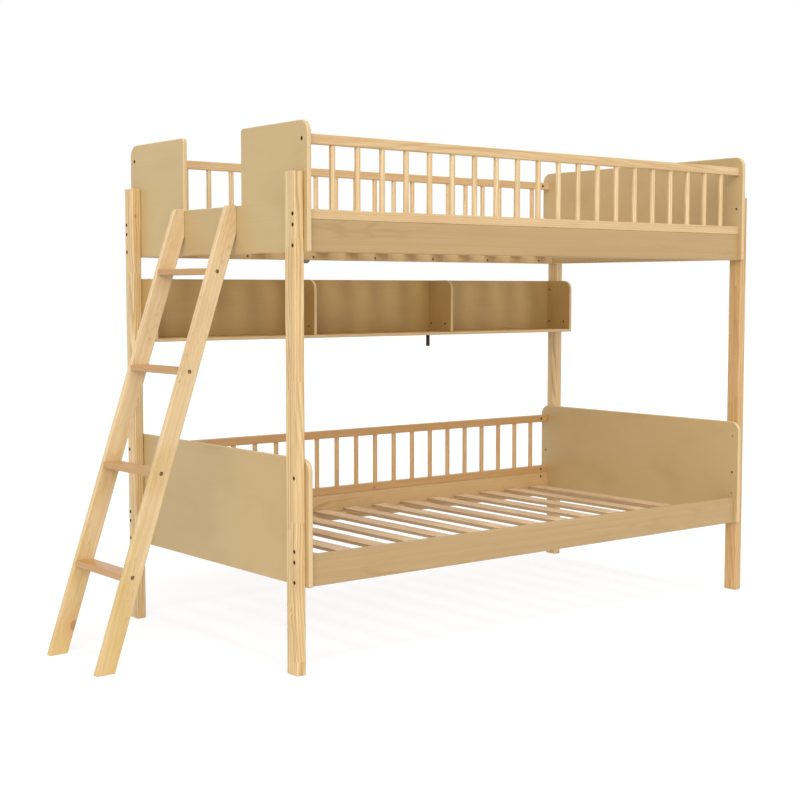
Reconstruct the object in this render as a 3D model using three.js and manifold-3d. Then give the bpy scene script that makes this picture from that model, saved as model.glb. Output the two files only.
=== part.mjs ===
// A bunk bed in pine and board: four corner posts bolted outside four end panels, side rails with
// slats, spindle guards, a bookshelf between the back posts and a ladder that leans on the left end.
// Millimetres, +Z up. +X runs along the bed from the ladder's end, and -Y is the open front.
// The origin is on the floor, under the middle of everything that stands on it.
import * as THREE from "three";
import { mergeVertices } from "three/addons/utils/BufferGeometryUtils.js";
import Module from "manifold-3d";

const wasm = await Module();
wasm.setup();

// Driving dimensions. Each is set once, and everything that meets a piece reads its size from here.
const bedLength = 1974; // clear length between the end panels
const frameDepth = 1040; // front of the front posts to the back of the back posts
const postHeight = 1500;
const postWidth = 34; // along the bed
const postDepth = 54; // across the bed
const postChamfer = 4;

const panelThickness = 16;
const panelHeight = 386;
const panelOverhang = 17; // past the posts, at the front and at the back
const panelCorner = 38; // radius of the upper corners
const panelHeelCorner = 6; // radius of the lower corners

const lowerLevel = 265; // underside of the lower rails and panels above the floor
const levelSpacing = 1000; // from the lower level to the upper one
const railHeight = 96;
const railThickness = 23;

const cleatHeight = 30;
const cleatDepth = 24;
const cleatEndGap = 2;

const slatCount = 14;
const slatWidth = 62;
const slatThickness = 12;
const slatSideGap = 4; // from a slat's end to the side rail
const slatHeadGap = 10; // from the left end panel to the first slat
const slatFootGap = 50; // from the last slat to the right end panel

const guardHeight = 250;
const guardRailHeight = 30;
const spindleCount = 20;
const spindleDiameter = 18;
const spindleTenon = 10; // how far a spindle runs into each guard rail

const entryWidth = 352; // the cut-out in the upper left end panel
const entrySill = 150; // height of the cut-out's sill over the panel's underside
const entryCorner = 12;

const ladderLean = 18.4; // degrees from upright
const ladderReach = 65; // from the upper level up to where the stringers meet the end panel
const ladderTopRise = 3; // of the stringers' tops over the cut-out's sill
const ladderTopCorner = 16;
const ladderOffset = 20; // from the middle of the bed towards the back
const ladderClearance = 0.3; // between the stringers and the end panel they lean on
const stringerWidth = 60;
const stringerThickness = 20;
const treadLength = 300; // clear width between the stringers
const treadDepth = 64;
const treadThickness = 20;
const treadRounding = 4;
const treadCount = 4;
const firstTread = 285; // height of the lowest tread's middle
const lastTreadDrop = 54.5; // from the upper level down to the highest tread's middle

const shelfDrop = 74; // from the upper level down to the shelf's top edge
const shelfHeight = 216;
const shelfDepth = 145;
const shelfBoard = 12;
const shelfCorner = 36; // radius of the ends' and dividers' upper front corners
const shelfBays = 3;
const pegDiameter = 15;
const pegLength = 46;
const pegRounding = 2;
const pegFromDivider = 65; // from the last divider's left face
const pegFromFront = 65; // from the shelf's front edge

// Places that follow from the dimensions. x is measured from the left end panel's outer face and y
// from the front of the front posts, until the whole bed is centred on its origin.
const outerLength = bedLength + 2 * panelThickness;
const upperLevel = lowerLevel + levelSpacing;
const ladderContact = upperLevel + ladderReach;
const ladderTop = upperLevel + entrySill + ladderTopRise;
const treadSpacing = (upperLevel - lastTreadDrop - firstTread) / (treadCount - 1);
const leanSlope = Math.tan(THREE.MathUtils.degToRad(ladderLean));
const stringerLevelWidth = stringerWidth / Math.cos(THREE.MathUtils.degToRad(ladderLean));
const ladderFoot = -ladderClearance - ladderContact * leanSlope; // inner edge of the feet
const originX = (ladderFoot - stringerLevelWidth + outerLength + postWidth) / 2;
const originY = frameDepth / 2;

const finish = (color, roughness, metalness = 0) =>
  new THREE.MeshStandardMaterial({ color, roughness, metalness });
const pine = finish(0xe3c08c, 0.45);
const board = finish(0xcfae80, 0.55);
const rawPine = finish(0xd2b08c, 0.75);
const darkMetal = finish(0x33261c, 0.4, 0.8);

// Meshes hold 32-bit numbers, so faces that meet could differ in the last digit. With every corner and
// place on this grid they hold the same number, at any size.
const gridStep = 1 / 64;
const onGrid = (length) => Math.round(length / gridStep) * gridStep;

function named(name, geometry, material) {
  const corners = geometry.attributes.position;
  corners.copyArray(corners.array.map(onGrid));
  const mesh = new THREE.Mesh(geometry, material);
  mesh.name = name;
  return mesh;
}

function placed(object, x, y, z) {
  object.position.set(onGrid(x), onGrid(y), onGrid(z));
  return object;
}

// A square-edged board given by its lowest corner and its size along x, y and z.
function block([x, y, z], [length, depth, height]) {
  const box = new THREE.BoxGeometry(length, depth, height);
  return box.translate(x + length / 2, y + depth / 2, z + height / 2);
}

// A polygon whose corners [x, y, radius] are rounded by an arc where the radius is more than 0.
function roundedOutline(corners) {
  const points = corners.map(([x, y]) => new THREE.Vector2(x, y));
  const shape = new THREE.Shape();
  corners.forEach(([x, y, radius], i) => {
    if (radius === 0) {
      if (i === 0) shape.moveTo(x, y);
      else shape.lineTo(x, y);
      return;
    }
    const before = points.at(i - 1).clone().sub(points[i]).normalize();
    const after = points[(i + 1) % points.length].clone().sub(points[i]).normalize();
    const halfAngle = Math.acos(before.dot(after)) / 2;
    const start = points[i].clone().addScaledVector(before, radius / Math.tan(halfAngle));
    const end = points[i].clone().addScaledVector(after, radius / Math.tan(halfAngle));
    const bisector = before.clone().add(after).normalize();
    const centre = points[i].clone().addScaledVector(bisector, radius / Math.sin(halfAngle));
    const angle = (p) => p.clone().sub(centre).angle();
    shape.absarc(centre.x, centre.y, radius, angle(start), angle(end), before.cross(after) > 0);
  });
  return shape;
}

// An outline drawn in y and z, given a thickness along x from x0.
function plateAcross(outline, x0, thickness) {
  const turn = new THREE.Matrix4().makeBasis(
    new THREE.Vector3(0, 1, 0),
    new THREE.Vector3(0, 0, 1),
    new THREE.Vector3(1, 0, 0),
  );
  return new THREE.ExtrudeGeometry(outline, { depth: thickness, bevelEnabled: false, curveSegments: 8 })
    .applyMatrix4(turn)
    .translate(x0, 0, 0);
}

// An outline drawn in x and z, given a thickness along y from y0.
function plateAlong(outline, y0, thickness) {
  return new THREE.ExtrudeGeometry(outline, { depth: thickness, bevelEnabled: false, curveSegments: 8 })
    .rotateX(Math.PI / 2)
    .translate(0, y0 + thickness, 0);
}

function solid(geometry) {
  const bare = geometry.clone();
  bare.deleteAttribute("normal");
  bare.deleteAttribute("uv");
  const merged = mergeVertices(bare, 1e-4);
  return new wasm.Manifold(
    new wasm.Mesh({
      numProp: 3,
      vertProperties: merged.attributes.position.array,
      triVerts: new Uint32Array(merged.index.array),
    }),
  );
}

// Joins closed geometries into one, as glue does.
function glued(geometries) {
  const mesh = geometries
    .map(solid)
    .reduce((whole, next) => whole.add(next))
    .getMesh();
  return new THREE.BufferGeometry()
    .setAttribute("position", new THREE.BufferAttribute(new Float32Array(mesh.vertProperties), 3))
    .setIndex(new THREE.BufferAttribute(new Uint32Array(mesh.triVerts), 1));
}

// A corner post, with its four long edges chamfered.
function post(name, x, y) {
  const c = postChamfer;
  const [w, d] = [postWidth, postDepth];
  const section = new THREE.Shape(
    [[c, 0], [w - c, 0], [w, c], [w, d - c], [w - c, d], [c, d], [0, d - c], [0, c]].map(
      ([px, py]) => new THREE.Vector2(px, py),
    ),
  );
  const geometry = new THREE.ExtrudeGeometry(section, { depth: postHeight, bevelEnabled: false });
  return placed(named(name, geometry, pine), x, y, 0);
}

// An end panel, standing on its level. The one at the ladder's end has a cut-out to climb through.
function endPanel(name, x, hasEntry) {
  const front = -panelOverhang;
  const back = frameDepth + panelOverhang;
  const entryFront = (frameDepth - entryWidth) / 2;
  const entryBack = entryFront + entryWidth;
  const entry = [
    [entryBack, panelHeight, entryCorner],
    [entryBack, entrySill, 0],
    [entryFront, entrySill, 0],
    [entryFront, panelHeight, entryCorner],
  ];
  const outline = roundedOutline([
    [front, 0, panelHeelCorner],
    [back, 0, panelHeelCorner],
    [back, panelHeight, panelCorner],
    ...(hasEntry ? entry : []),
    [front, panelHeight, panelCorner],
  ]);
  return named(name, plateAcross(outline, x, panelThickness), board);
}

// A guard: two rails with round spindles between them, evenly spaced along the bed.
function guard(name, y) {
  const rail = (z) => block([panelThickness, y, z], [bedLength, railThickness, guardRailHeight]);
  const spindleHeight = guardHeight - 2 * guardRailHeight + 2 * spindleTenon;
  const pitch = bedLength / (spindleCount + 1);
  const spindles = Array.from({ length: spindleCount }, (_, i) =>
    new THREE.CylinderGeometry(spindleDiameter / 2, spindleDiameter / 2, spindleHeight, 12)
      .rotateX(Math.PI / 2)
      .translate(panelThickness + (i + 1) * pitch, y + railThickness / 2, railHeight + guardHeight / 2),
  );
  const frame = glued([rail(railHeight), rail(railHeight + guardHeight - guardRailHeight), ...spindles]);
  return named(name, frame, pine);
}

// One sleeping level: end panels, side rails, cleats and slats, with the guards that it has.
function sleepingLevel(level, z, { hasEntry, guardSides }) {
  const group = placed(new THREE.Group(), 0, 0, z);
  group.add(endPanel(level + "_left_end_panel", 0, hasEntry));
  group.add(endPanel(level + "_right_end_panel", panelThickness + bedLength, false));

  const backRail = frameDepth - railThickness;
  const sides = {
    front: { rail: 0, cleat: railThickness },
    back: { rail: backRail, cleat: backRail - cleatDepth },
  };
  for (const [side, y] of Object.entries(sides)) {
    const rail = block([panelThickness, y.rail, 0], [bedLength, railThickness, railHeight]);
    const cleat = block(
      [panelThickness + cleatEndGap, y.cleat, 0],
      [bedLength - 2 * cleatEndGap, cleatDepth, cleatHeight],
    );
    group.add(named(level + "_" + side + "_side_rail", rail, board));
    group.add(named(level + "_" + side + "_slat_cleat", cleat, rawPine));
    if (guardSides.includes(side)) group.add(guard(level + "_" + side + "_guard", y.rail));
  }

  const slatPitch = (bedLength - slatHeadGap - slatFootGap - slatWidth) / (slatCount - 1);
  const slatEnd = railThickness + slatSideGap;
  for (let i = 0; i < slatCount; i++) {
    const slat = block(
      [panelThickness + slatHeadGap + i * slatPitch, slatEnd, cleatHeight],
      [slatWidth, frameDepth - 2 * slatEnd, slatThickness],
    );
    group.add(named(level + "_slat_" + String(i + 1).padStart(2, "0"), slat, rawPine));
  }
  return group;
}

// The bookshelf: a shallow open box between the back posts, parted into bays by its dividers.
function bookshelf() {
  const shelfUnderside = upperLevel - shelfDrop - shelfHeight;
  const group = placed(new THREE.Group(), 0, frameDepth - shelfDepth, shelfUnderside);
  const upright = (name, x, underside, depth) => {
    const outline = roundedOutline([
      [0, underside, 0],
      [depth, underside, 0],
      [depth, shelfHeight, 0],
      [0, shelfHeight, shelfCorner],
    ]);
    group.add(named(name, plateAcross(outline, x, shelfBoard), board));
  };
  const innerLength = outerLength - 2 * shelfBoard;
  const bay = (innerLength - (shelfBays - 1) * shelfBoard) / shelfBays;
  const dividerPitch = bay + shelfBoard;
  upright("shelf_left_end", 0, 0, shelfDepth);
  upright("shelf_right_end", outerLength - shelfBoard, 0, shelfDepth);
  const bottom = block([shelfBoard, 0, 0], [innerLength, shelfDepth, shelfBoard]);
  group.add(named("shelf_bottom_board", bottom, board));
  const back = block(
    [shelfBoard, shelfDepth - shelfBoard, shelfBoard],
    [innerLength, shelfBoard, shelfHeight - shelfBoard],
  );
  group.add(named("shelf_back_board", back, board));
  for (let i = 1; i < shelfBays; i++) {
    upright("shelf_divider_" + i, i * dividerPitch, shelfBoard, shelfDepth - shelfBoard);
  }

  const r = pegDiameter / 2;
  const profile = [[0, 0], [r - pegRounding, 0], [r, pegRounding], [r, pegLength], [0, pegLength]].map(
    ([px, py]) => new THREE.Vector2(px, py),
  );
  const peg = named("shelf_peg", new THREE.LatheGeometry(profile, 16).rotateX(Math.PI / 2), darkMetal);
  const pegLeft = (shelfBays - 1) * dividerPitch - pegFromDivider;
  group.add(placed(peg, pegLeft, pegFromFront, -pegLength));
  return group;
}

// The ladder's inner edge: its x at a height z.
const stringerInner = (z) => -ladderClearance - (ladderContact - z) * leanSlope;

// The ladder: two leaning stringers, cut level at the floor and plumb where they meet the bed,
// with level treads housed between them.
function ladder() {
  const group = placed(new THREE.Group(), 0, frameDepth / 2 + ladderOffset, 0);
  const outline = roundedOutline([
    [stringerInner(0) - stringerLevelWidth, 0, 0],
    [stringerInner(0), 0, 0],
    [-ladderClearance, ladderContact, 0],
    [-ladderClearance, ladderTop, 0],
    [stringerInner(ladderTop) - stringerLevelWidth, ladderTop, ladderTopCorner],
  ]);
  const half = treadLength / 2;
  const stringer = (name, y0) => named(name, plateAlong(outline, y0, stringerThickness), pine);
  group.add(stringer("ladder_front_stringer", -half - stringerThickness));
  group.add(stringer("ladder_back_stringer", half));
  for (let i = 0; i < treadCount; i++) {
    const z = firstTread + i * treadSpacing;
    const x = stringerInner(z) - stringerLevelWidth / 2;
    const [d, t, r] = [treadDepth / 2, treadThickness / 2, treadRounding];
    const section = roundedOutline([
      [x - d, z - t, r],
      [x + d, z - t, r],
      [x + d, z + t, r],
      [x - d, z + t, r],
    ]);
    group.add(named("ladder_tread_" + (i + 1), plateAlong(section, -half, treadLength), pine));
  }
  return group;
}

const bed = placed(new THREE.Group(), -originX, -originY, 0);
const backPost = frameDepth - postDepth;
bed.add(post("front_left_post", -postWidth, 0));
bed.add(post("back_left_post", -postWidth, backPost));
bed.add(post("front_right_post", outerLength, 0));
bed.add(post("back_right_post", outerLength, backPost));
bed.add(sleepingLevel("lower", lowerLevel, { hasEntry: false, guardSides: ["back"] }));
bed.add(sleepingLevel("upper", upperLevel, { hasEntry: true, guardSides: ["front", "back"] }));
bed.add(bookshelf());
bed.add(ladder());

const bunkBed = new THREE.Group();
bunkBed.add(bed);
export default bunkBed;
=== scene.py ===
"""A pine bunk bed with a bookshelf under its upper bunk and a ladder that leans on one end.

Each board is a piece of its own, sized from the frame part that it stands for. The fastenings of one
board, or the dowels of one guard, are one piece together. Metres, +Z up; +X runs along the bed from
the ladder's end, and -Y is the open front.
"""

import bpy
import numpy as np
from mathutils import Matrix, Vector


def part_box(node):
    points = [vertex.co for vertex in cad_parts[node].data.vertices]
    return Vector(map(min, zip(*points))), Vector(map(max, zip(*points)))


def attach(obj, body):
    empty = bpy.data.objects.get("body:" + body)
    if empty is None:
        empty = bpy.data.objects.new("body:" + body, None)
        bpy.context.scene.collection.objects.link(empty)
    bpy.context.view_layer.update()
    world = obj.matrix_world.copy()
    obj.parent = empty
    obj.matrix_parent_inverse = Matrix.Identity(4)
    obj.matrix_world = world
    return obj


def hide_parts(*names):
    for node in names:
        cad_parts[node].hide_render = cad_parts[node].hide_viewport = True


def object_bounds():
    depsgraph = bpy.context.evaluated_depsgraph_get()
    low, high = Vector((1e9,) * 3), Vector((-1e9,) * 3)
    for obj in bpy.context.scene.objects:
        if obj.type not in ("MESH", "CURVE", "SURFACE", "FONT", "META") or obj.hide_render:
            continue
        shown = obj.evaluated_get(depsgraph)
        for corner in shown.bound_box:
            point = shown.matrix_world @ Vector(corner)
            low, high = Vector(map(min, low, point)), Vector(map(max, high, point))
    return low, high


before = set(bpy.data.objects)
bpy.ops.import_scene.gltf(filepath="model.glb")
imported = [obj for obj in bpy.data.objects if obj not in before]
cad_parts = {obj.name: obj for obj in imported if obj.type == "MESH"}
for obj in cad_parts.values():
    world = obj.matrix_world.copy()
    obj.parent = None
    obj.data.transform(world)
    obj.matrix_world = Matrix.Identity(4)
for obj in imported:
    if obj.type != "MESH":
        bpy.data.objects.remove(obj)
cad_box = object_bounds()

# Corner posts. Four 34 x 54 mm posts of varnished pine, each glued up from two strips of
# finger-jointed blocks, with rounded edges and sunk holes for the frame bolts' heads. They stand
# outside the end panels.

post_edge = 0.0045
end_edge = 0.003
bolt_radius = 0.006
bolt_sink = 0.0032
bolt_hole = bolt_radius + 0.0004
draws = np.random.default_rng(20)


def build(name, points, faces):
    """A mesh object from an array of points and lists of their numbers, round each face."""
    mesh = bpy.data.meshes.new(name)
    mesh.from_pydata(points.reshape(-1, 3), [], faces)
    piece = bpy.data.objects.new(name, mesh)
    bpy.context.scene.collection.objects.link(piece)
    return piece


def rounded_outline(corners, steps):
    """A closed outline through corners (u, v, radius), anticlockwise. An arc touches both sides of its
    corner at radius / tan(half the angle) from it, about a centre on the bisector."""
    points = np.array([corner[:2] for corner in corners], float)
    share = np.linspace(0, 1, steps + 1)[:, None]
    outline = []
    for (u, v, radius), before, after in zip(corners, np.roll(points, 1, 0), np.roll(points, -1, 0)):
        here = np.array([u, v], float)
        back, ahead = before - here, after - here
        back, ahead = back / np.linalg.norm(back), ahead / np.linalg.norm(ahead)
        half = np.arccos(np.clip(back @ ahead, -1, 1)) / 2
        centre = here + (back + ahead) / np.linalg.norm(back + ahead) * radius / np.sin(half)
        start = here + back * radius / np.tan(half) - centre
        end = here + ahead * radius / np.tan(half) - centre
        sweep = np.pi - 2 * half
        arc = (np.sin((1 - share) * sweep) * start + np.sin(share * sweep) * end) / np.sin(sweep)
        outline.append(centre + arc)
    return np.concatenate(outline)


def eased_solid(name, outline, axis, near, far, ease, steps=4):
    """An outline carried along an axis from near to far. Over a quarter turn at each end it moves
    inwards by ease * (1 - sin) while it advances by ease * (1 - cos), so both rims are rounded."""
    turn = np.linspace(0, np.pi / 2, steps + 1)
    inset = ease * (1 - np.sin(turn))
    advance = ease * (1 - np.cos(turn))
    inset = np.concatenate([inset, inset[::-1]])
    depth = np.concatenate([near + advance, (far - advance)[::-1]])
    side = np.roll(outline, -1, 0) - outline
    normal = np.stack([side[:, 1], -side[:, 0]], 1) / np.linalg.norm(side, axis=1)[:, None]
    before = np.roll(normal, 1, 0)
    mitre = (normal + before) / (1 + (normal * before).sum(1))[:, None]
    rings = outline - inset[:, None, None] * mitre
    points = np.empty((len(depth), len(outline), 3))
    points[..., (axis + 1) % 3] = rings[..., 0]
    points[..., (axis + 2) % 3] = rings[..., 1]
    points[..., axis] = depth[:, None]
    count = len(outline)
    here = np.arange(count)
    ahead = np.roll(here, -1)
    start = np.arange(len(depth) - 1)[:, None] * count
    quads = np.stack([start + here, start + ahead, start + count + ahead, start + count + here], -1)
    caps = [here[::-1].tolist(), (here + (len(depth) - 1) * count).tolist()]
    return build(name, points, quads.reshape(-1, 4).tolist() + caps)


def board(name, low, high, along, edge, ease=0.001):
    """A board that fills the box from low to high: a rectangle with corners of radius edge, carried
    along one axis."""
    u, v = (along + 1) % 3, (along + 2) % 3
    outline = rounded_outline(
        [
            (low[u], low[v], edge),
            (high[u], low[v], edge),
            (high[u], high[v], edge),
            (low[u], high[v], edge),
        ],
        4,
    )
    return eased_solid(name, outline, along, low[along], high[along], ease)


def turned(name, profile, spots, axis, outward=1, sides=24):
    """Round pieces, one at each spot: a profile of (radius, height, facets) rows turned about an axis,
    heights counted outwards. Where facets is 1, the ring is a hexagon whose flats lie at that radius:
    radius / cos(angle from the nearest flat's middle)."""
    profile = np.array(profile, float)
    angle = np.arange(sides) * 2 * np.pi / sides
    flat = 1 / np.cos(angle % (np.pi / 3) - np.pi / 6)
    reach = profile[:, :1] * (1 + profile[:, 2:] * (flat - 1))
    shape = np.zeros((len(profile), sides, 3))
    shape[..., (axis + 1) % 3] = reach * np.cos(angle)
    shape[..., (axis + 2) % 3] = reach * np.sin(angle) * outward
    shape[..., axis] = profile[:, 1:2] * outward
    points = np.asarray(spots, float)[:, None, None, :] + shape
    here = np.arange(sides)
    ahead = np.roll(here, -1)
    ring = np.arange(len(profile) - 1)[:, None] * sides
    quads = np.stack([ring + here, ring + ahead, ring + sides + ahead, ring + sides + here], -1)
    caps = np.stack([here[::-1], here + (len(profile) - 1) * sides])
    copy = np.arange(len(points))[:, None, None] * len(profile) * sides
    faces = (copy + quads.reshape(1, -1, 4)).reshape(-1, 4).tolist()
    return build(name, points, faces + (copy + caps).reshape(-1, sides).tolist())


def drill(piece, spots, axis, outward, radius, depth):
    """Cuts a flat-bottomed hole into a piece at each spot on its face."""
    above = 0.002
    cutter = turned("cutter", [(radius, -depth, 0), (radius, above, 0)], spots, axis, outward)
    cut = piece.modifiers.new("hole", "BOOLEAN")
    cut.operation = "DIFFERENCE"
    cut.solver = "EXACT"
    cut.object = cutter
    shape = bpy.data.meshes.new_from_object(
        piece.evaluated_get(bpy.context.evaluated_depsgraph_get())
    )
    piece.modifiers.clear()
    piece.data = shape
    bpy.data.objects.remove(cutter)


def mark_grain(piece, along, part=None, darker=0.0, knot=None):
    """Stores where each point lies in its own board: along the grain, and across it both ways, from
    the board's middle. Along is an axis, or three rows: the ways along the grain, across the face and
    through the board. Board holds one random number for each board, heart holds darker, the share of
    the heart tint: near 1 for a board cut from the darkest wood, and painted shade on the front side
    rails. Knot is the place (x, y, z) and radius of one knot that stands out."""
    mesh = piece.data
    axes = np.roll(np.eye(3), along, 1) if np.isscalar(along) else np.array(along)
    place = np.empty(len(mesh.vertices) * 3, np.float32)
    mesh.vertices.foreach_get("co", place)
    place = place.reshape(-1, 3) @ axes.T
    part = np.zeros(len(place), int) if part is None else part
    low = np.full((part.max() + 1, 3), np.inf)
    high = -low
    np.minimum.at(low, part, place)
    np.maximum.at(high, part, place)
    number = draws.random(len(low))
    middle = ((low + high) / 2)[part]
    spot = np.zeros((len(place), 3))
    size = 0.0
    if knot:
        spot = axes @ np.array(knot[:3]) - middle
        size = knot[3]
    for name, values in (
        ("grain", place - middle),
        ("knot", spot),
        ("board", number[part]),
        ("heart", np.full(len(place), darker)),
        ("knot_size", np.full(len(place), size)),
    ):
        flat = values.ndim == 1
        layer = mesh.attributes.new(name, "FLOAT" if flat else "FLOAT_VECTOR", "POINT")
        layer.data.foreach_set("value" if flat else "vector", values.astype(np.float32).ravel())


def fit(piece, material, slot, body, *stands_for):
    """Smooths a piece between its sharp edges, gives it its finish, ties it to its body and hides the
    frame parts that it stands for."""
    piece.data.shade_smooth()
    piece.data.set_sharp_from_angle(angle=np.radians(38))
    even = piece.modifiers.new("flat faces", "WEIGHTED_NORMAL")
    even.keep_sharp = True
    piece.data.materials.clear()
    piece.data.materials.append(material)
    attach(piece, body)
    if stands_for:
        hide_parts(*stands_for)


class Wire:
    """A socket of a shader, on which Python's arithmetic adds Math nodes."""

    def __init__(self, tree, socket=None):
        self.tree = tree
        self.socket = socket

    def node(self, kind, settings, inputs, output=0):
        """Adds a node: its settings first, then the values or wires of its sockets."""
        made = self.tree.nodes.new(kind)
        for name, value in settings.items():
            setattr(made, name, value)
        for key, value in inputs.items():
            if isinstance(value, Wire):
                self.tree.links.new(value.socket, made.inputs[key])
            else:
                made.inputs[key].default_value = value
        return Wire(self.tree, made.outputs[output])

    def math(self, operation, *others, clamp=False):
        settings = {"operation": operation, "use_clamp": clamp}
        return self.node("ShaderNodeMath", settings, dict(enumerate((self, *others))))

    def __add__(self, other):
        return self.math("ADD", other)

    def __sub__(self, other):
        return self.math("SUBTRACT", other)

    def __rsub__(self, other):
        return self * -1 + other

    def __mul__(self, other):
        return self.math("MULTIPLY", other)

    def __truediv__(self, other):
        return self.math("DIVIDE", other)

    def __pow__(self, other):
        return self.math("POWER", other)

    __radd__ = __add__
    __rmul__ = __mul__

    def clamped(self):
        return self.math("ADD", 0.0, clamp=True)

    def colour(self, base, other):
        """Base where this is 0, and other where it is 1."""
        return self.node("ShaderNodeMix", {"data_type": "RGBA"}, {0: self, 6: base, 7: other}, 2)

    def other(self, output):
        """Another output of the node that this socket belongs to."""
        return Wire(self.tree, self.socket.node.outputs[output])

    def parts(self):
        """The three numbers of a vector."""
        first = self.node("ShaderNodeSeparateXYZ", {}, {0: self})
        return [first, first.other(1), first.other(2)]

    def vector(self, x, y, z):
        return self.node("ShaderNodeCombineXYZ", {}, {0: x, 1: y, 2: z})

    def noise(self, place, detail, output=0):
        inputs = {"Vector": place, "Scale": 1.0, "Detail": detail, "Roughness": 0.5}
        return self.node("ShaderNodeTexNoise", {}, inputs, output)


def paint(red, green, blue):
    """A colour given as it shows, from 0 to 255, turned into the light that it reflects."""
    shown = np.array([red, green, blue]) / 255
    light = np.where(shown > 0.04045, ((shown + 0.055) / 1.055) ** 2.4, shown / 12.92)
    return (*light.tolist(), 1.0)


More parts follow.
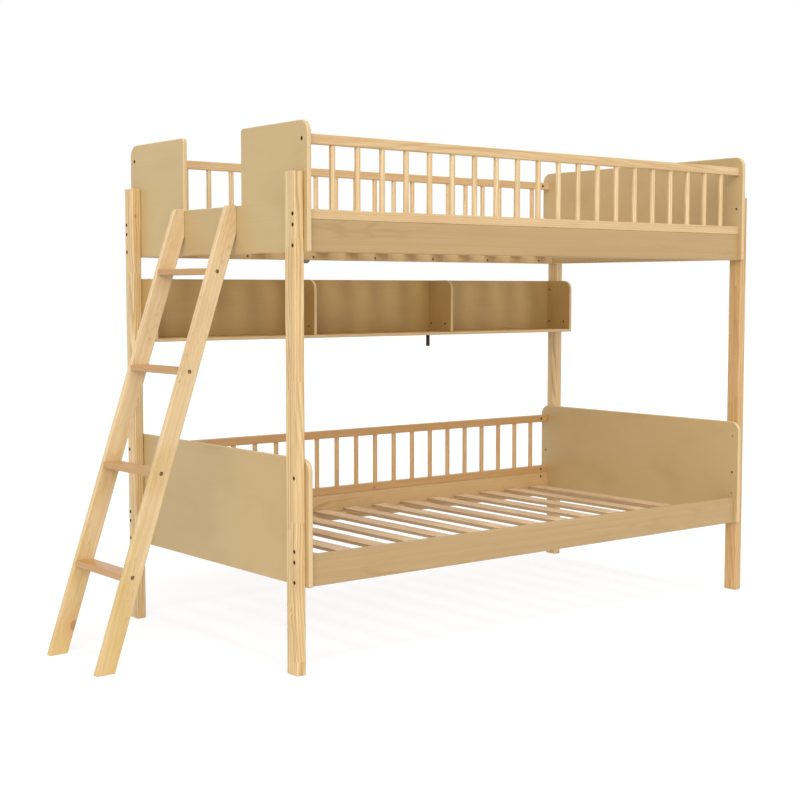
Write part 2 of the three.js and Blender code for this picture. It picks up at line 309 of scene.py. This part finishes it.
def wood(name, pale, late, warm, ring, depth, streaks, knots, vary=0.5, cloudy=0.3, flecks=0.0,
         amber=0.0, veins=0.0, glued=False, rim=None, half=0.0, rough=0.42, coat=0.25,
         heart_tint_and_shade=paint(190, 140, 80)):
    """Sawn wood. Its rings are the distance from the log's heart, which lies beside the board and
    wanders along it: a ring darkens towards its outer edge and then ends sharply. Broad streaks, soft
    clouds, short flecks and dark wavy veins lie over them. Knots are round spots that the rings bend
    round. Glued strips and finger joints start the pattern afresh, and amber stains the foot of a
    board. The heart tint darkens boards of darker wood, and is painted shade on the front side rails.
    A board's edges, nearer its middle than half its thickness, take the rim's colour: painted shade
    on the slats' and cleats' edges, and painted light on the shelf's edges."""
    material = bpy.data.materials.new(name)
    material.use_nodes = True
    tree = material.node_tree
    shader = tree.nodes["Principled BSDF"]
    wire = Wire(tree)

    def stored(attribute, output="Fac"):
        """A value that mark_grain stored on the piece."""
        return wire.node("ShaderNodeAttribute", {"attribute_name": attribute}, {}, output)

    def length(x, y, z):
        """The length of a vector: the root of the sum of its parts' squares."""
        vector = wire.vector(x, y, z)
        return wire.node("ShaderNodeVectorMath", {"operation": "LENGTH"}, {0: vector}, "Value")

    def near(distance, fall):
        """A bell round 0: the exponential of -fall times the distance squared."""
        return (distance * distance * -fall).math("EXPONENT")

    along, across, through = stored("grain", "Vector").parts()
    chance = stored("board") * 31.0
    tone = chance.math("FRACT")
    if glued:
        block_length = 0.42
        seam_width = 0.0016
        lane = through.math("GREATER_THAN", 0.0)
        chance = chance + lane * 1.37
        block = (along / block_length + chance * 0.77).math("FLOOR")
        chance = chance + block * 0.61
        tone = wire.node("ShaderNodeTexWhiteNoise", {"noise_dimensions": "2D"},
                         {"Vector": wire.vector(lane + chance, block, 0.0)})

    def stretched(long_waves, cross_waves, detail=2.0, output=0):
        """Noise drawn out along the grain, in waves to the metre along the board and across it."""
        place = wire.vector(along * long_waves + chance, across * cross_waves, through * cross_waves)
        return wire.noise(place, detail, output)

    # Where the log's heart lies, seen from this point of the board.
    heart_off = 0.055
    heart_wander = 0.07
    drift, rise, _ = stretched(1.1, 3.0, 1.0, 1).parts()
    turn = chance * 5.3
    heart_across = across + turn.math("SINE") * heart_off + (drift - 0.5) * heart_wander
    heart_through = through + turn.math("COSINE") * heart_off + (rise - 0.5) * heart_wander

    # Scattered knots, at most one to a cell, then the one that is given.
    cells_along, cells_across = 3.1, 16.0
    knot_stretch = 1.15
    largest_knot = 0.011
    place = wire.vector(along * cells_along + chance, across * cells_across, through * cells_across)
    cell = wire.node("ShaderNodeTexVoronoi", {"feature": "F1"}, {"Vector": place, "Scale": 1.0},
                     "Position")
    cell_along, cell_across, cell_through = cell.parts()
    away = length(
        (along * cells_along + chance - cell_along) / (cells_along * knot_stretch),
        (across * cells_across - cell_across) / cells_across,
        (through * cells_across - cell_through) / cells_across,
    )
    luck = cell.other("Color").parts()[0]
    radius = (luck - (1 - knots)).math("MAXIMUM", 0.0) * largest_knot / max(knots, 0.01)
    knot = ((radius - away) * 1100.0 + 0.2).clamped()
    bent = near(away, 1900.0) * (radius * 260.0).clamped()

    placed_stretch = 1.5
    spot = stored("knot", "Vector").parts()
    size = stored("knot_size")
    beside = length((along - spot[0]) / placed_stretch, across - spot[1], through - spot[2])
    swirl = near(beside, 900.0) * (size * 160.0 - 0.8).clamped()
    knot = knot.math("MAXIMUM", ((size - beside) * 400.0).clamped() * 0.6)
    bent = bent.math("MAXIMUM", swirl)
    away = away.math("MINIMUM", beside)

    # Year rings, and the noises that the layers are made of.
    ring_ripple = 0.55
    ring_bend = 2.4
    rings = (heart_across * heart_across + heart_through * heart_through).math("SQRT") / ring
    rings = rings + (stretched(9.0, 60.0) - 0.5) * ring_ripple + bent * ring_bend
    within = rings.math("FRACT")
    year = within ** 2.2 * ((1 - within) * 5.0).clamped()
    strength = stretched(2.0, 22.0, 1.0)
    fibre = stretched(28.0, 900.0)
    broad = stretched(0.9, 75.0)
    fine = stretched(1.6, 190.0, 3.0)
    cloud = stretched(4.0, 7.0)

    # Each layer covers what is under it by its own amount, from 0 to 1.
    amber_stain = paint(204, 170, 88)
    olive_stain = paint(190, 158, 88)
    knot_halo = paint(206, 136, 84)
    knot_heart = paint(133, 82, 45)
    layers = [
        (year * depth * (strength * 2.2 - 0.2).clamped(), late),
        ((broad - 0.5) * 3.2 * streaks + 0.3 + (tone - 0.5) * vary, warm),
        ((fine - 0.54) * 4.5 * streaks, late),
        ((cloud - 0.5) * 2.0 * cloudy, late),
        ((fibre - 0.5) * 0.6 * (0.2 + depth), late),
        (bent * 0.55, warm),
    ]
    if flecks:
        hair = stretched(38.0, 620.0, 1.0)
        patch = (stretched(5.0, 16.0, 1.0) * 5.0 - 2.1).clamped()
        layers.append(((hair - 0.56) * 4.0 * flecks * patch, late))
    if amber:
        foot = ((cloud - 0.5) * 1.8 - along * amber - 0.12).clamped()
        layers.append((foot * 0.85, amber_stain))
    if veins:
        patch = stretched(1.5, 9.0, 1.0) * 7.0
        stain = (patch - 3.8).clamped() * (cloud * 1.6 - 0.3).clamped()
        vein = (1 - (stretched(2.6, 17.0, 3.0) - 0.5).math("ABSOLUTE") * 26.0).clamped()
        layers.append((stain * 0.7 * veins, olive_stain))
        layers.append((vein * (patch - 3.6).clamped() * veins, late))
    layers.append((stored("heart") * (0.7 + broad * 0.6), heart_tint_and_shade))
    layers.append((swirl * 0.4, knot_halo))
    layers.append((((away * 5200.0).math("SINE") * 0.25 + 0.75) * knot, knot_heart))
    if glued:
        seam = (1 - through.math("ABSOLUTE") / seam_width).clamped()
        layers.append((seam * 0.6, late))
    # The rim colour is painted shade on the slats' and cleats' edges and painted light on the shelf's
    # edges.
    if rim:
        inside = ((half - 0.0006 - through.math("ABSOLUTE")) * 900.0).clamped()
        layers.append((inside * 0.85, rim))
    colour = pale
    for amount, tint in layers:
        colour = amount.clamped().colour(colour, tint)

    tree.links.new(colour.socket, shader.inputs["Base Color"])
    height = year * 0.35 * depth + fibre * 0.5 - knot * 0.3
    bump = wire.node(
        "ShaderNodeBump", {}, {"Strength": 0.25, "Distance": 0.0004, "Height": height}
    )
    tree.links.new(bump.socket, shader.inputs["Normal"])
    gloss = rough + (fibre - 0.5) * 0.16 + year * 0.05
    tree.links.new(gloss.socket, shader.inputs["Roughness"])
    shader.inputs["Coat Weight"].default_value = coat
    shader.inputs["Coat Roughness"].default_value = 0.28
    return material


post_pine = wood("post_pine", paint(234, 206, 152), paint(152, 104, 48), paint(220, 182, 124),
                 ring=0.0085, depth=1.15, streaks=0.7, knots=0.18, vary=0.3, glued=True)
levels = {name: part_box(name + "_left_end_panel")[0].z for name in ("lower", "upper")}
rail_low, rail_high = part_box("lower_front_side_rail")
guard_low, guard_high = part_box("lower_back_guard")
bolt_lines = {
    "front": (rail_low.y + rail_high.y) / 2,
    "back": (guard_low.y + guard_high.y) / 2,
}

# Heights of the bolts over the underside of the rails.
rail_bolts = [0.018, 0.079]
low_guard_bolt = 0.111
top_guard_bolt = 0.331
bolt_spots = []
for side, line in bolt_lines.items():
    for end, axis_sign in (("left", -1), ("right", 1)):
        node = f"{side}_{end}_post"
        low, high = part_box(node)
        face = low.x if end == "left" else high.x
        heights = [levels["lower"] + h for h in (*rail_bolts, low_guard_bolt, top_guard_bolt)]
        heights += [levels["upper"] + h for h in (*rail_bolts, low_guard_bolt)]
        spots = [(face, line, z) for z in heights]
        post = board(node + "_pine", low, high, 2, post_edge, end_edge)
        drill(post, spots, 0, axis_sign, bolt_hole, bolt_sink)
        top_knot = (low.x + 0.012, low.y, 1.406, 0.006)
        knot = top_knot if node == "back_left_post" else None
        mark_grain(post, 2, darker=0.5 if node == "front_right_post" else 0.0, knot=knot)
        fit(post, post_pine, "post_pine", "bed", node)
        bolt_spots.append((f"{side}_{end}", axis_sign, spots))

# Frame bolts. Dark bronzed connector bolts with a rounded rim and a hexagonal socket, sunk flush in
# the posts' outer faces. The topmost ones go through the upper end panels into the guards.

bolt_rim = 0.0009
socket_flats = 0.0021
socket_depth = 0.0022


def bronzed(name, shade, metallic, rough):
    """Metal with a thin finish: cloudy in tone, and duller where it is cloudier."""
    material = bpy.data.materials.new(name)
    material.use_nodes = True
    tree = material.node_tree
    shader = tree.nodes["Principled BSDF"]
    wire = Wire(tree)
    place = wire.node("ShaderNodeTexCoord", {}, {}, "Object")
    grown = wire.node("ShaderNodeVectorMath", {"operation": "SCALE"}, {0: place, "Scale": 420.0})
    cloud = wire.noise(grown, 3.0)
    lighter = tuple(min(1.0, c * 1.8 + 0.004) for c in shade[:3]) + (1.0,)
    colour = ((cloud - 0.35) * 1.6).clamped().colour(shade, lighter)
    worn = wire.node("ShaderNodeAttribute", {"attribute_name": "worn"}, {}, "Fac")
    colour = worn.colour(colour, paint(176, 142, 92))
    tree.links.new(colour.socket, shader.inputs["Base Color"])
    tree.links.new((cloud * 0.3 + rough).socket, shader.inputs["Roughness"])
    shader.inputs["Metallic"].default_value = metallic
    return material


dark_metal = bronzed("dark_metal", paint(50, 37, 26), 0.45, 0.36)
head_top = -0.0003
bolt_profile = [
    (bolt_radius, -bolt_sink, 0),
    (bolt_radius, head_top - bolt_rim, 0),
    (bolt_radius - bolt_rim * 0.3, head_top - bolt_rim * 0.3, 0),
    (bolt_radius - bolt_rim, head_top, 0),
    (socket_flats + 0.0005, head_top, 0.5),
    (socket_flats, head_top - 0.0004, 1),
    (socket_flats, head_top - socket_depth, 1),
]
for corner, axis_sign, spots in bolt_spots:
    bolts = turned(corner + "_frame_bolts", bolt_profile, spots, 0, axis_sign)
    fit(bolts, dark_metal, "dark_metal", "bed")

# End panels. Four 16 mm boards with rounded corners and eased rims, veneered in pale plain wood. The
# upper one at the ladder's end is cut out to climb through.

panel_edge = 0.004
panel_corner = 0.038
panel_heel = 0.006
entry_width = 0.352
entry_sill = 0.150
entry_corner = 0.012
sill_corner = 0.003
hole_radius = 0.0035
hole_depth = 0.010
panel_screw = 0.192
panel_board = wood("panel_board", paint(196, 170, 119), paint(176, 148, 97), paint(195, 163, 115),
                   ring=0.010, depth=0.08, streaks=0.12, knots=0.0, vary=0.3, cloudy=0.75,
                   rim=paint(220, 190, 143), half=0.008, rough=0.46, coat=0.18)
for level, base in levels.items():
    for end, axis_sign in (("left", -1), ("right", 1)):
        node = f"{level}_{end}_end_panel"
        low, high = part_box(node)
        entry = [
            (entry_width / 2, high.z, entry_corner),
            (entry_width / 2, base + entry_sill, sill_corner),
            (-entry_width / 2, base + entry_sill, sill_corner),
            (-entry_width / 2, high.z, entry_corner),
        ]
        outline = rounded_outline(
            [
                (low.y, low.z, panel_heel),
                (high.y, low.z, panel_heel),
                (high.y, high.z, panel_corner),
                *(entry if node == "upper_left_end_panel" else []),
                (low.y, high.z, panel_corner),
            ],
            8,
        )
        panel = eased_solid(node + "_board", outline, 0, low.x, high.x, panel_edge)
        outer, inner = (low.x, high.x) if end == "left" else (high.x, low.x)
        if level == "upper":
            spots = [(outer, line, base + top_guard_bolt) for line in bolt_lines.values()]
            drill(panel, spots, 0, axis_sign, bolt_hole, bolt_sink)
            bolts = turned(f"{node}_guard_bolts", bolt_profile, spots, 0, axis_sign)
            fit(bolts, dark_metal, "dark_metal", "bed")
        else:
            front = bolt_lines["front"]
            empty = [(inner, front, base + h) for h in (low_guard_bolt, top_guard_bolt)]
            drill(panel, empty, 0, -axis_sign, hole_radius, hole_depth)
        mark_grain(panel, 1)
        fit(panel, panel_board, "panel_board", "bed", node)

# Panel screws. One bronzed countersunk screw near each end goes through the end panel into the post
# behind it. Its head lies flush with the panel's inner face.

screw_radius = 0.0045
screw_sides = 18
screw_profile = [
    (screw_radius * 0.6, -0.0016, 0),
    (screw_radius, -0.0002, 0),
    (screw_radius, 0.0003, 0),
    (screw_radius * 0.8, 0.0007, 0),
    (0.0014, 0.0007, 0.5),
    (0.0012, -0.0006, 1),
]
for level, base in levels.items():
    for end, axis_sign in (("left", -1), ("right", 1)):
        low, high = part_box(f"{level}_{end}_end_panel")
        inner = high.x if end == "left" else low.x
        spots = [(inner, line, base + panel_screw) for line in bolt_lines.values()]
        name = f"{level}_{end}_panel_screws"
        screws = turned(name, screw_profile, spots, 0, -axis_sign, screw_sides)
        fit(screws, dark_metal, "dark_metal", "bed")

# Side rails. Four 23 x 96 mm boards between the end panels, varnished like them. Each end is pulled
# up by the frame bolts, which screw into steel cross nuts let into the rail's inner face.

rail_edge = 0.0025
nut_radius = 0.005
nut_from_end = 0.040
nut_hole = nut_radius + 0.0003
nut_hole_depth = 0.005
nut_sides = 18
on_edge = [[1, 0, 0], [0, 0, 1], [0, 1, 0]]
# Its heart tint darkens the front rails as painted shade, to hold them as dim as the back rails in the
# bunks' shade.
rail_board = wood("rail_board", paint(214, 182, 130), paint(146, 112, 62), paint(208, 172, 120),
                  ring=0.0095, depth=0.4, streaks=0.25, knots=0.12, vary=0.3, cloudy=0.4,
                  veins=0.65, rough=0.45, coat=0.2, heart_tint_and_shade=paint(174, 143, 97))
nut_profile = [
    (nut_radius, -0.004, 0),
    (nut_radius, -0.0002, 0),
    (nut_radius - 0.0005, 0.0001, 0),
    (0.0018, 0.0001, 0.5),
    (0.0015, -0.0012, 1),
]
for level, base in levels.items():
    for side in ("front", "back"):
        node = f"{level}_{side}_side_rail"
        low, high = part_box(node)
        inward = 1 if side == "front" else -1
        face = high.y if side == "front" else low.y
        ends = (low.x + nut_from_end, high.x - nut_from_end)
        spots = [(x, face, base + rail_bolts[1]) for x in ends]
        rail = board(node + "_board", low, high, 0, rail_edge)
        drill(rail, spots, 1, inward, nut_hole, nut_hole_depth)
        # Painted shade: the front rails take most of the heart tint.
        mark_grain(rail, on_edge, darker=0.75 if side == "front" else 0.0)
        fit(rail, rail_board, "rail_board", "bed", node)
        nuts = turned(f"{level}_{side}_rail_nuts", nut_profile, spots, 1, inward, nut_sides)
        fit(nuts, dark_metal, "dark_metal", "bed")

# Slat cleats. A strip of unvarnished pine along the inside of each side rail, held by a row of
# countersunk screws. The slats lie on it.

cleat_edge = 0.0015
cleat_screws = 7
cleat_first = 0.126
cleat_pitch = 0.2935
cleat_screw_height = 0.011
# Its rim colour darkens the slats' and cleats' edges as painted shade, where the slats lie in each
# other's shade.
slat_pine = wood("slat_pine", paint(238, 212, 176), paint(166, 126, 84), paint(224, 186, 146),
                 ring=0.0060, depth=0.85, streaks=0.8, knots=0.35, vary=1.0, cloudy=0.5, flecks=0.8,
                 rim=paint(170, 140, 100), half=0.006, rough=0.66, coat=0.0,
                 heart_tint_and_shade=paint(190, 156, 96))
for level, base in levels.items():
    for side in ("front", "back"):
        node = f"{level}_{side}_slat_cleat"
        low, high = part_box(node)
        inward = 1 if side == "front" else -1
        face = high.y if side == "front" else low.y
        cleat = board(node + "_strip", low, high, 0, cleat_edge)
        mark_grain(cleat, on_edge, darker=0.7)
        fit(cleat, slat_pine, "slat_pine", "bed", node)
        spots = [
            (low.x + cleat_first + i * cleat_pitch, face, base + cleat_screw_height)
            for i in range(cleat_screws)
        ]
        name = f"{level}_{side}_cleat_screws"
        screws = turned(name, screw_profile, spots, 1, inward, screw_sides)
        fit(screws, dark_metal, "dark_metal", "bed")

# Slats. Fourteen thin planks of rough-sawn pine on each level, unvarnished, with their knots left
# in. They lie loose across the cleats.

slat_count = 14
slat_edge = 0.0014
slat_end_edge = 0.0008
for level in levels:
    for number in range(1, slat_count + 1):
        node = f"{level}_slat_{number:02d}"
        slat = board(node + "_plank", *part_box(node), 1, slat_edge, slat_end_edge)
        mark_grain(slat, [[0, 1, 0], [1, 0, 0], [0, 0, 1]])
        fit(slat, slat_pine, "slat_pine", "bed", node)

# Guards. Two slim pine rails with twenty round dowels glued between them. They stand on the side
# rails: both sides of the upper bunk, and the back of the lower one.

guard_rail = 0.030
guard_edge = 0.003
dowel_count = 20
dowel_radius = 0.009
dowel_tenon = 0.010
guard_pine = wood("guard_pine", paint(232, 208, 162), paint(176, 132, 68), paint(222, 184, 132),
                  ring=0.0070, depth=0.85, streaks=0.8, knots=0.14, vary=0.9, cloudy=0.5)
guard_knots = {"lower_back_guard_lower_rail": (0.270, 0.497, 0.372, 0.007)}
for node in ("upper_front_guard", "upper_back_guard", "lower_back_guard"):
    low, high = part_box(node)
    inward = 1 if "front" in node else -1
    darker = 0.7 if "lower" in node else 0.3
    face = high.y if inward == 1 else low.y
    ends = (low.x + nut_from_end, high.x - nut_from_end)
    lower_top = Vector((high.x, high.y, low.z + guard_rail))
    upper_bottom = Vector((low.x, low.y, high.z - guard_rail))
    for part, part_low, part_high in (
        ("lower_rail", low, lower_top),
        ("top_rail", upper_bottom, high),
    ):
        name = f"{node}_{part}"
        height = (part_low.z + part_high.z) / 2
        rail = board(name, part_low, part_high, 0, guard_edge)
        spots = [(x, face, height) for x in ends]
        drill(rail, spots, 1, inward, nut_hole, nut_hole_depth)
        mark_grain(rail, on_edge, darker=darker, knot=guard_knots.get(name))
        fit(rail, guard_pine, "guard_pine", "bed", node)
        nuts = turned(name + "_nuts", nut_profile, spots, 1, inward, nut_sides)
        fit(nuts, dark_metal, "dark_metal", "bed")
    pitch = (high.x - low.x) / (dowel_count + 1)
    spots = [
        (low.x + (i + 1) * pitch, (low.y + high.y) / 2, lower_top.z - dowel_tenon)
        for i in range(dowel_count)
    ]
    dowel_length = upper_bottom.z - lower_top.z + 2 * dowel_tenon
    profile = [
        (dowel_radius - 0.001, 0, 0),
        (dowel_radius, 0.001, 0),
        (dowel_radius, dowel_length - 0.001, 0),
        (dowel_radius - 0.001, dowel_length, 0),
    ]
    dowels = turned(node + "_dowels", profile, spots, 2)
    each = np.repeat(np.arange(dowel_count), len(dowels.data.vertices) // dowel_count)
    mark_grain(dowels, 2, each, darker=darker - 0.3)
    fit(dowels, guard_pine, "guard_pine", "bed", node)

# Bookshelf. A shallow open box of 12 mm boards, fixed between the back posts under the upper bunk.
# Two dividers part it into three bays, and dark screws show in the dividers and the right end.

shelf_edge = 0.0025
shelf_corner = 0.036
# The shelf's boards are toned darker as painted shade of the upper bunk over them, and their rims are
# paler as painted light on the edges that face the front.
shelf_board = wood("shelf_board", paint(184, 153, 94), paint(158, 123, 65), paint(178, 141, 83),
                   ring=0.010, depth=0.14, streaks=0.15, knots=0.0, vary=0.5, cloudy=0.8,
                   rim=paint(220, 188, 140), half=0.006, rough=0.46, coat=0.18)
for node in ("shelf_left_end", "shelf_right_end", "shelf_divider_1", "shelf_divider_2"):
    low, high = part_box(node)
    outline = rounded_outline(
        [
            (low.y, low.z, shelf_edge),
            (high.y, low.z, shelf_edge),
            (high.y, high.z, shelf_edge),
            (low.y, high.z, shelf_corner),
        ],
        8,
    )
    upright = eased_solid(node + "_board", outline, 0, low.x, high.x, shelf_edge * 0.6)
    mark_grain(upright, [[0, 0, 1], [0, 1, 0], [1, 0, 0]])
    fit(upright, shelf_board, "shelf_board", "bed", node)
for node, thick_way in (("shelf_bottom_board", 2), ("shelf_back_board", 1)):
    plank = board(node + "_plank", *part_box(node), 0, shelf_edge * 0.6)
    mark_grain(plank, np.eye(3)[[0, 3 - thick_way, thick_way]])
    fit(plank, shelf_board, "shelf_board", "bed", node)

shelf_low, shelf_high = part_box("shelf_right_end")
near_front = shelf_low.y + 0.035
near_back = shelf_high.y - 0.022
screw_height = shelf_low.z + 0.043
top_screw_height = shelf_high.z - 0.037
for node, places in (
    ("shelf_divider_1", [(near_front, screw_height)]),
    ("shelf_divider_2", [(near_front, screw_height), (near_back, screw_height)]),
    (
        "shelf_right_end",
        [
            (near_front, screw_height),
            (near_back, screw_height),
            (near_back, top_screw_height),
        ],
    ),
):
    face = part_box(node)[0].x
    spots = [(face, y, z) for y, z in places]
    screws = turned(node + "_screws", screw_profile, spots, 0, -1, screw_sides)
    fit(screws, dark_metal, "dark_metal", "bed")

# Shelf peg. A short turned peg with a rounded tip, fixed to the underside of the bottom board. It is
# as dark as the bolts and has their finish.

peg_low, peg_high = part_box("shelf_peg")
peg_radius = (peg_high.x - peg_low.x) / 2
peg_length = peg_high.z - peg_low.z
tip = 0.003
turn = np.linspace(0, np.pi / 2, 5)
peg_profile = np.stack(
    [peg_radius - tip + tip * np.sin(turn), tip - tip * np.cos(turn), np.zeros_like(turn)], 1
)
peg_profile = np.concatenate([peg_profile, [(peg_radius, peg_length, 0)]])
peg = turned(
    "shelf_peg_turned",
    peg_profile,
    [((peg_low.x + peg_high.x) / 2, (peg_low.y + peg_high.y) / 2, peg_low.z)],
    2,
)
fit(peg, dark_metal, "dark_metal", "bed", "shelf_peg")

# Ladder. Two leaning stringers of wide-grained pine, cut level at the foot and plumb where they
# touch the bed, with four flat treads held by a bolt through each stringer into each tread's end.
# These bolts have a dark rim and a paler crown round a small socket.

stringer_edge = 0.002
sawn_corner = 0.0026
tread_edge = 0.004
tread_count = 4
top_corner = 0.016
rest_height = 0.065
contact = levels["upper"] + rest_height
lean = np.radians(18.4)
board_width = 0.060
stringer_width = board_width / np.cos(lean)
ladder_pine = wood("ladder_pine", paint(226, 203, 160), paint(166, 126, 68), paint(222, 188, 138),
                   ring=0.0120, depth=0.5, streaks=0.4, knots=0.25, vary=0.4, cloudy=0.5,
                   flecks=1.0, amber=1.0, heart_tint_and_shade=paint(182, 132, 70))
crown_radius = 0.0036
crown_socket = 0.0016
crowned_bolt = np.array(
    [
        (bolt_radius, -bolt_sink, 0),
        (bolt_radius, head_top - bolt_rim, 0),
        (bolt_radius - bolt_rim * 0.3, head_top - bolt_rim * 0.3, 0),
        (bolt_radius - bolt_rim, head_top, 0),
        (crown_radius + 0.0003, head_top, 0),
        (crown_radius, head_top, 0),
        (crown_socket + 0.0003, head_top, 0.5),
        (crown_socket, head_top - 0.0003, 1),
        (crown_socket, head_top - 0.0020, 1),
    ]
)
tread_spots = []
for number in range(1, tread_count + 1):
    node = f"ladder_tread_{number}"
    low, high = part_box(node)
    tread_spots.append(((low.x + high.x) / 2, (low.z + high.z) / 2))
    tread = board(node + "_step", low, high, 1, tread_edge)
    mark_grain(tread, 1, darker=0.85)
    fit(tread, ladder_pine, "ladder_pine", "ladder", node)
uphill = np.array([np.sin(lean), 0, np.cos(lean)])
outwards = np.array([np.cos(lean), 0, -np.sin(lean)])
for side, axis_sign in (("front", -1), ("back", 1)):
    node = f"ladder_{side}_stringer"
    low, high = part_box(node)
    inner_foot = high.x - (contact - low.z) * np.tan(lean)
    top_inner = inner_foot + (high.z - low.z) * np.tan(lean)
    outline = rounded_outline(
        [
            (low.z, inner_foot - stringer_width, sawn_corner),
            (high.z, top_inner - stringer_width, top_corner),
            (high.z, high.x, sawn_corner),
            (contact, high.x, sawn_corner),
            (low.z, inner_foot, sawn_corner),
        ],
        8,
    )
    stringer = eased_solid(node + "_plank", outline, 1, low.y, high.y, stringer_edge)
    face = low.y if side == "front" else high.y
    spots = [(x, face, z) for x, z in tread_spots]
    drill(stringer, spots, 1, axis_sign, bolt_hole, bolt_sink)
    foot_knot = (-1.188, 0.17, 0.088, 0.012)
    knot = foot_knot if side == "back" else None
    mark_grain(stringer, [uphill, outwards, [0, 1, 0]], knot=knot)
    fit(stringer, ladder_pine, "ladder_pine", "ladder", node)
    bolts = turned(node + "_bolts", crowned_bolt, spots, 1, axis_sign)
    worn = bolts.data.attributes.new("worn", "FLOAT", "POINT")
    crown = (crowned_bolt[:, 0] < crown_radius + 0.0001) & (crowned_bolt[:, 0] > crown_socket)
    rows = np.repeat(crown, len(bolts.data.vertices) // len(spots) // len(crown))
    worn.data.foreach_set("value", np.tile(rows.astype(np.float32), len(spots)))
    fit(bolts, dark_metal, "dark_metal", "ladder")

# Bracket plate. A small dull steel plate that hangs under the upper back cleat, over the shelf's
# first divider, with both lower corners cut off.

plate_width = 0.088
plate_drop = 0.0125
plate_cut = 0.0095
plate_corner = 0.001
plate_thickness = 0.006
grey_metal = bronzed("grey_metal", paint(120, 112, 98), 0.4, 0.45)
cleat_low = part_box("upper_back_slat_cleat")[0]
divider_low, divider_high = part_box("shelf_divider_1")
plate_left = (divider_low.x + divider_high.x - plate_width) / 2
plate_right = plate_left + plate_width
plate_bottom = cleat_low.z - plate_drop
outline = rounded_outline(
    [
        (plate_bottom, plate_left + plate_cut, plate_corner),
        (plate_bottom + plate_cut, plate_left, plate_corner),
        (cleat_low.z, plate_left, plate_corner),
        (cleat_low.z, plate_right, plate_corner),
        (plate_bottom + plate_cut, plate_right, plate_corner),
        (plate_bottom, plate_right - plate_cut, plate_corner),
    ],
    3,
)
plate_back = cleat_low.y + plate_thickness
plate = eased_solid("bracket_plate", outline, 1, cleat_low.y, plate_back, 0.0006)
fit(plate, grey_metal, "grey_metal", "bed")

# Floor, light and camera. A plain white floor and room, large soft lamps to the left, above and off
# the ladder's corner, and a camera at chest height beside the last one.


def looked_at(wire):
    """1 where a surface is seen, or shows in gloss or through glass, and 0 where it lights others."""
    rays = [wire.node("ShaderNodeLightPath", {}, {}, kind)
            for kind in ("Is Camera Ray", "Is Glossy Ray", "Is Transmission Ray")]
    return rays[0].math("MAXIMUM", rays[1]).math("MAXIMUM", rays[2])


floor_mesh = bpy.data.meshes.new("floor")
reach = 30.0
floor_mesh.from_pydata(
    [(-reach, -reach, 0), (reach, -reach, 0), (reach, reach, 0), (-reach, reach, 0)],
    [],
    [(0, 1, 2, 3)],
)
floor = bpy.data.objects.new("floor", floor_mesh)
bpy.context.scene.collection.objects.link(floor)
white = bpy.data.materials.new("floor_white")
white.use_nodes = True
tree = white.node_tree
tree.nodes.clear()
wire = Wire(tree)
matt = wire.node("ShaderNodeBsdfDiffuse", {}, {"Color": (0.86, 0.86, 0.86, 1)})
glow = wire.node("ShaderNodeEmission", {}, {"Color": (1, 1, 1, 1), "Strength": 1.2})
kept_shadow = 0.35
shown = looked_at(wire) * (1 - kept_shadow)
surface = wire.node("ShaderNodeMixShader", {}, {0: shown, 1: matt, 2: glow})
output = tree.nodes.new("ShaderNodeOutputMaterial")
tree.links.new(surface.socket, output.inputs["Surface"])
floor_mesh.materials.append(white)

world = bpy.data.worlds.new("room")
bpy.context.scene.world = world
world.use_nodes = True
tree = world.node_tree
tree.nodes.clear()
wire = Wire(tree)
around = wire.node("ShaderNodeBackground", {}, {"Color": (1, 1, 1, 1), "Strength": 0.53})
behind = wire.node("ShaderNodeBackground", {}, {"Color": (1, 1, 1, 1), "Strength": 1.0})
room = wire.node("ShaderNodeMixShader", {}, {0: looked_at(wire), 1: around, 2: behind})
output = tree.nodes.new("ShaderNodeOutputWorld")
tree.links.new(room.socket, output.inputs["Surface"])

bed_middle = (cad_box[0] + cad_box[1]) / 2
for name, place, spread, power in (
    ("lamp_left", (-5.6, -2.6, 4.0), 45.0, 0.5),
    ("lamp_above", (0.0, -2.4, 6.3), 20.0, 1.15),
    ("lamp_front", (-4.2, -4.5, 3.4), 40.0, 1.08),
):
    lamp = bpy.data.lights.new(name, "SUN")
    lamp.angle = np.radians(spread)
    lamp.energy = power
    lamp_object = bpy.data.objects.new(name, lamp)
    bpy.context.scene.collection.objects.link(lamp_object)
    lamp_object.location = place
    aim = bed_middle - Vector(place)
    lamp_object.rotation_euler = aim.to_track_quat("-Z", "Y").to_euler()

camera = bpy.data.cameras.new("camera")
camera.lens = 66.0
camera.sensor_width = 36.0
camera.clip_end = 100.0
camera_object = bpy.data.objects.new("camera", camera)
bpy.context.scene.collection.objects.link(camera_object)
camera_object.location = (-3.240, -4.0824, 1.1548)
heading = np.radians(51.518)
tilt = np.radians(-4.314)
look = Vector((np.cos(tilt) * np.cos(heading), np.cos(tilt) * np.sin(heading), np.sin(tilt)))
camera_object.rotation_euler = look.to_track_quat("-Z", "Y").to_euler()
bpy.context.scene.camera = camera_object
bpy.context.scene.view_settings.view_transform = "Standard"
